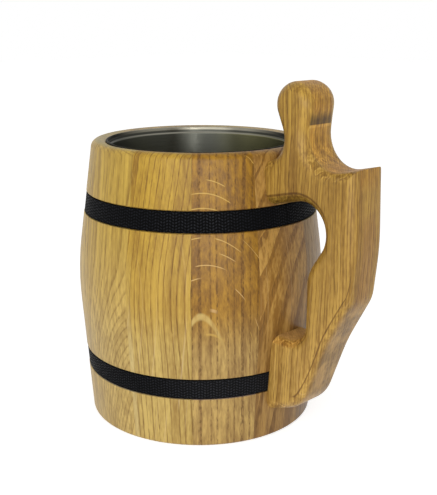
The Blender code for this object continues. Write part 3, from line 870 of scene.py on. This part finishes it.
# Line the router left beside the round-over of the lower leg, and along the arch of the grip.
# The path gives its distance from the plank's middle at each height.
CURVE_HIGH = 0.12
CURVE_OFF = 0.0125
LINE_DEPTH = -1.5
ROUTER_LINE = (0.48, 0.41, 0.35, 1)
router_path = [
    (0.0240, 0.01195),
    (0.0270, 0.0118),
    (0.0320, 0.0115),
    (0.0386, 0.0111),
    (0.0486, 0.0109),
    (0.0620, 0.0113),
    (0.0705, 0.0113),
    (0.0780, 0.0111),
    (0.0830, 0.0101),
    (0.0910, 0.0096),
    (0.0989, 0.0108),
]
path = node(tree, "FloatCurve", {"Value": calc(tree, "DIVIDE", high, CURVE_HIGH)})
points = path.mapping.curves[0].points
for point, (z, y) in zip((points[0], points[1]), (router_path[0], router_path[-1])):
    point.location = (z / CURVE_HIGH, y / CURVE_OFF)
for z, y in router_path[1:-1]:
    points.new(z / CURVE_HIGH, y / CURVE_OFF)
path.mapping.update()
beside = calc(tree, "ABSOLUTE", calc(tree, "MULTIPLY_ADD", path.outputs[0], -CURVE_OFF, off))
leg_line = both(
    tree,
    fade(tree, beside, 0.00008, 0.00022, 1.0, 0.0),
    between(tree, high, 0.0262, 0.0275, 0.084, 0.099),
    outer,
)
arch_line = both(
    tree,
    between(tree, flat, 0.93, 0.96, 0.985, 0.999),
    between(tree, high, 0.108, 0.116, 0.128, 0.132),
    fade(tree, along, 0.094, 0.086),
)
line = calc(tree, "MAXIMUM", leg_line, arch_line)
stain(handle_oak, line, ROUTER_LINE)
bump = tree.nodes["Bump"].inputs["Height"]
tree.links.new(calc(tree, "MULTIPLY_ADD", line, LINE_DEPTH, bump.links[0].from_socket), bump)

bm = bmesh.new()
draw_outline(bm, handle_corners, (1, 0, 0), (0, 0, 1))
bmesh.ops.translate(bm, verts=bm.verts, vec=(0, -HANDLE_HALF, 0))
sawn = bmesh.ops.contextual_create(bm, geom=bm.edges[:])["faces"]
thick = bmesh.ops.extrude_face_region(bm, geom=sawn)["geom"]
far_face = [v for v in thick if isinstance(v, bmesh.types.BMVert)]
bmesh.ops.translate(bm, verts=far_face, vec=(0, 2 * HANDLE_HALF, 0))
bmesh.ops.recalc_face_normals(bm, faces=bm.faces)
arrises = [e for e in bm.edges if abs(e.verts[0].co.y - e.verts[1].co.y) < HANDLE_HALF]
bmesh.ops.bevel(
    bm,
    geom=arrises,
    offset=ROUNDOVER,
    offset_type="OFFSET",
    segments=ROUNDOVER_STEPS,
    profile=ROUNDOVER_SHAPE,
    affect="EDGES",
    clamp_overlap=False,
    material=-1,
)
flat_share = 1 - ROUNDOVER / KNOB_RADIUS
for vert in bm.verts:
    reach = (Vector((vert.co.x, vert.co.z)) - KNOB).length / KNOB_RADIUS
    edge = min(max((reach - flat_share) / (1 - flat_share), 0), 1)
    rise = min(max((vert.co.z - KNOB.y) / KNOB_RADIUS + 1, 0), 1)
    face = math.copysign(1, vert.co.y)
    vert.co.y -= face * SANDED[face] * edge * edge * rise
handle = make_piece(bm, "oak_handle", handle_oak)

SCRIBE_GAP = 0.0001
SCRIBE_PAST = 0.001
SCRIBE_STEPS = 192
SCRIBE_TIP = 0.00001
scribe_foot = FOOT_RADIUS + SCRIBE_GAP - SCRIBE_PAST * FOOT_TAPER
scribe_rim = RIM_RADIUS + SCRIBE_GAP - SCRIBE_PAST * RIM_TAPER
bm = bmesh.new()
draw_outline(
    bm,
    [
        (SCRIBE_TIP, -SCRIBE_PAST, 0),
        (scribe_foot, -SCRIBE_PAST, 0),
        (BELLY_CORNER[0] + SCRIBE_GAP, BELLY_CORNER[1], BELLY_ROUND),
        (scribe_rim, RIM_HEIGHT + SCRIBE_PAST, 0),
        (SCRIBE_TIP, RIM_HEIGHT + SCRIBE_PAST, 0),
    ],
    (1, 0, 0),
    (0, 0, 1),
    closed=False,
)
turn_solid(bm, (0, 0, 1), SCRIBE_STEPS)
cut_away(handle, make_piece(bm, "barrel_scribe", handle_oak))
for height in SCREW_HEIGHTS:
    drill_screw_hole(handle, height)
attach(handle, "root")
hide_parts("handle")


# Handle screws: two zinc-plated countersunk wood screws, driven from inside the bore through the
# handle's stave into the handle's feet before the liner goes in. Nothing of them shows.

ZINC = ((0.48, 0.46, 0.40, 1), (0.68, 0.67, 0.62, 1))

zinc, tree, shader = new_finish("screw_zinc")
plating = speckle(tree, node(tree, "TexCoord").outputs["Object"], (900, 900, 900), 3.0)
zinc_tint = mix(tree, plating, *ZINC)
tree.links.new(zinc_tint, shader.inputs["Base Color"])
tree.links.new(fade(tree, plating, 0.3, 0.7, 0.28, 0.45), shader.inputs["Roughness"])
shader.inputs["Metallic"].default_value = 1.0
for label in ("upper", "lower"):
    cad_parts[f"{label}_handle_screw"].data.materials[0] = zinc


# Sealant: a thin grey ring of food-safe rubber between the liner's lip and its seat in the rim.
# It is squeezed out of a tube, so it is slightly uneven and dull.

RUBBER = ((0.40, 0.39, 0.36, 1), (0.62, 0.61, 0.57, 1))

sealant, tree, shader = new_finish("lip_sealant")
beads = speckle(tree, node(tree, "TexCoord").outputs["Object"], (700, 700, 700), 2.0)
rubber = mix(tree, beads, *RUBBER)
tree.links.new(rubber, shader.inputs["Base Color"])
tree.links.new(fade(tree, beads, 0.3, 0.7, 0.5, 0.75), shader.inputs["Roughness"])
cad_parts["lip_sealant"].data.materials[0] = sealant


# Liner: a cup drawn from stainless steel sheet, with a rolled lip, a short straight neck and a
# small shoulder under it, let in last and bonded at the lip. The inside is brushed round by the
# polishing wheel.

SHEET = 0.0007
LINER_FLOOR = 0.0100
LINER_TIP = 0.0001
LINER_STEPS = 180
LINER_CREASE = 30
SHOULDER = 0.1374
NECK = 0.1380
LIP_TOP = 0.1407
LIP_UNDER = 0.1394
LIP_HOLLOW = 0.1398
liner_outline = [
    (LINER_TIP, LINER_FLOOR + SHEET, 0),
    (0.0434, LINER_FLOOR + SHEET, 0.0055),
    (0.0452, SHOULDER, 0.0008),
    (0.0458, NECK, 0.0005),
    (0.0462, LIP_TOP, 0.0004),
    (0.0473, LIP_TOP, 0.0005),
    (0.0473, LIP_UNDER, 0.0001),
    (0.0466, LIP_UNDER, 0.0001),
    (0.0466, LIP_HOLLOW, 0),
    (0.0458 + SHEET, LIP_HOLLOW, 0),
    (0.0458 + SHEET, NECK, 0.0005),
    (0.0452 + SHEET, SHOULDER, 0.0008),
    (0.0434 + SHEET, LINER_FLOOR, 0.0062),
    (LINER_TIP, LINER_FLOOR, 0),
]

# Tints that follow the reflections in the photograph: a dark upper wall, warmer on the right,
# bright steel further down, and a mouth that is paler on the far side.
UPPER_WALL = ((0.080, 0.081, 0.066, 1), (0.125, 0.126, 0.108, 1))
CLOUDED = (0.066, 0.068, 0.056, 1)
BRIGHT_WALL = ((0.55, 0.545, 0.52, 1), (0.70, 0.695, 0.67, 1))
WARM = (2.10, 2.00, 1.22, 1)
SHOULDER_TINTS = ((0.030, 0.030, 0.025, 1), (0.22, 0.21, 0.17, 1))
NECK_TINTS = ((0.022, 0.022, 0.018, 1), (0.060, 0.060, 0.050, 1))
LIP_TINTS = ((0.024, 0.022, 0.018, 1), (0.25, 0.235, 0.185, 1))

liner_steel, tree, shader = new_finish("liner_steel")
spot = node(tree, "TexCoord").outputs["Object"]
high = node(tree, "SeparateXYZ", {0: spot}).outputs["Z"]
wheel = {"W": calc(tree, "MULTIPLY", high, 4200.0), "Scale": 1.0, "Detail": 2.0}
brushed = node(tree, "TexNoise", wheel, noise_dimensions="1D").outputs[0]
cloud = speckle(tree, spot, (45, 45, 30), 2.0)
far = fade(tree, toward(tree, spot, FAR_SIDE), 0.012, 0.042)
right_half = fade(tree, toward(tree, spot, RIGHT_SIDE), 0.004, 0.032)
tint = mix(tree, brushed, *UPPER_WALL)
tint = mix(tree, fade(tree, cloud, 0.3, 0.7, 0.0, 0.5), tint, CLOUDED)
tint = mix(tree, fade(tree, high, 0.125, 0.105), tint, mix(tree, brushed, *BRIGHT_WALL))
warm = both(tree, right_half, fade(tree, high, 0.118, 0.126))
tint = mix(tree, warm, tint, WARM, "MULTIPLY")
shoulder = between(tree, high, 0.1373, 0.1376, 0.1379, 0.1382)
tint = mix(tree, shoulder, tint, mix(tree, far, *SHOULDER_TINTS))
tint = mix(tree, fade(tree, high, 0.1380, 0.1383), tint, mix(tree, far, *NECK_TINTS))
lip = fade(tree, high, 0.1391, 0.1396)
tint = mix(tree, lip, tint, mix(tree, far, *LIP_TINTS))
tree.links.new(tint, shader.inputs["Base Color"])
worn = calc(tree, "MULTIPLY_ADD", cloud, 0.12, calc(tree, "MULTIPLY_ADD", brushed, 0.10, 0.20))
dull = both(tree, lip, calc(tree, "SUBTRACT", 1.0, far))
tree.links.new(calc(tree, "MULTIPLY_ADD", dull, 0.45, worn), shader.inputs["Roughness"])
shader.inputs["Metallic"].default_value = 1.0
shader.inputs["Specular Tint"].default_value = (0.90, 0.90, 0.88, 1)
shader.inputs["Anisotropic"].default_value = 0.55
shader.inputs["Anisotropic Rotation"].default_value = 0.25
tangent = node(tree, "Tangent", direction_type="RADIAL", axis="Z")
tree.links.new(tangent.outputs[0], shader.inputs["Tangent"])
relief = node(tree, "Bump", {"Height": brushed, "Strength": 0.12, "Distance": 0.00005})
tree.links.new(relief.outputs[0], shader.inputs["Normal"])

bm = bmesh.new()
draw_outline(bm, liner_outline, (1, 0, 0), (0, 0, 1), closed=False)
turn_solid(bm, (0, 0, 1), LINER_STEPS)
liner = make_piece(bm, "liner_cup", liner_steel, LINER_CREASE)
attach(liner, "root")
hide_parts("steel_liner")


# Studio: a white paper sweep under the mug, lit by soft boxes and white surroundings, and a camera
# at the photograph's viewpoint. Paper and surroundings look whiter to the camera and in reflections
# than the light they cast, as they do on a bright photographer's table.

VIEW_TURN = math.radians(46)
CAMERA_SPOT = (0.3182, -0.3073, 0.2014)
LENS = 63.92
PITCH = 0.26023
ASIDE = 0.0202
FLOOR_SIZE = 3.0
FLOOR_DROP = 0.0002
PAPER = (0.80, 0.80, 0.80, 1)
PAPER_GLOW = 0.65
SKY_LIGHT = 0.50
SKY_GLOW = 0.50
right = Vector((math.cos(VIEW_TURN), math.sin(VIEW_TURN), 0))
ahead = Vector((-math.sin(VIEW_TURN), math.cos(VIEW_TURN), 0))
up = Vector((0, 0, 1))


def seen_directly(tree):
    """Mask for what the camera sees, straight, mirrored or through something clear."""
    path = node(tree, "LightPath")
    seen = calc(tree, "MAXIMUM", path.outputs["Is Camera Ray"], path.outputs["Is Glossy Ray"])
    return calc(tree, "MAXIMUM", seen, path.outputs["Is Transmission Ray"])


sweep, tree, shader = new_finish("white_sweep")
tree.nodes.remove(shader)
glow_strength = calc(tree, "MULTIPLY", seen_directly(tree), PAPER_GLOW)
paper = node(tree, "BsdfDiffuse", {"Color": PAPER})
glow = node(tree, "Emission", {"Color": (1, 1, 1, 1), "Strength": glow_strength})
lit = node(tree, "AddShader", {0: paper.outputs[0], 1: glow.outputs[0]})
tree.links.new(lit.outputs[0], tree.nodes["Material Output"].inputs["Surface"])
bm = bmesh.new()
bmesh.ops.create_grid(bm, x_segments=1, y_segments=1, size=FLOOR_SIZE)
floor = make_piece(bm, "floor", sweep)
floor.location.z = -FLOOR_DROP

world = bpy.data.worlds.new("studio")
bpy.context.scene.world = world
world.use_nodes = True
tree = world.node_tree
background = tree.nodes["Background"]
background.inputs["Color"].default_value = (1, 1, 1, 1)
strength = calc(tree, "MULTIPLY_ADD", seen_directly(tree), SKY_GLOW, SKY_LIGHT)
tree.links.new(strength, background.inputs["Strength"])


def softbox(name, side, height, back, size, power, aim=(0.02, 0, 0.07)):
    """Square soft lamp placed from the object to the right, up and towards the camera."""
    lamp = bpy.data.lights.new(name, "AREA")
    lamp.size = size
    lamp.energy = power
    box = bpy.data.objects.new(name, lamp)
    box.location = right * side + up * height - ahead * back
    box.rotation_euler = (Vector(aim) - box.location).to_track_quat("-Z", "Y").to_euler()
    bpy.context.scene.collection.objects.link(box)


softbox("key_softbox", -0.34, 0.42, 1.10, 1.0, 7.0)
softbox("front_softbox", 0.20, 0.34, 1.3, 0.16, 1.4)
softbox("low_card", 0.34, 0.15, 0.94, 0.5, 2.2)
softbox("left_card", -1.0, 0.45, 0.45, 0.5, 0.4)

camera = bpy.data.objects.new("camera", bpy.data.cameras.new("camera"))
camera.location = CAMERA_SPOT
look = ahead * math.cos(PITCH) - up * math.sin(PITCH) + right * ASIDE
camera.rotation_euler = look.to_track_quat("-Z", "Y").to_euler()
camera.data.lens = LENS
camera.data.sensor_width = 36
camera.data.clip_start = 0.01
bpy.context.scene.collection.objects.link(camera)
bpy.context.scene.camera = camera
bpy.context.scene.view_settings.view_transform = "Standard"
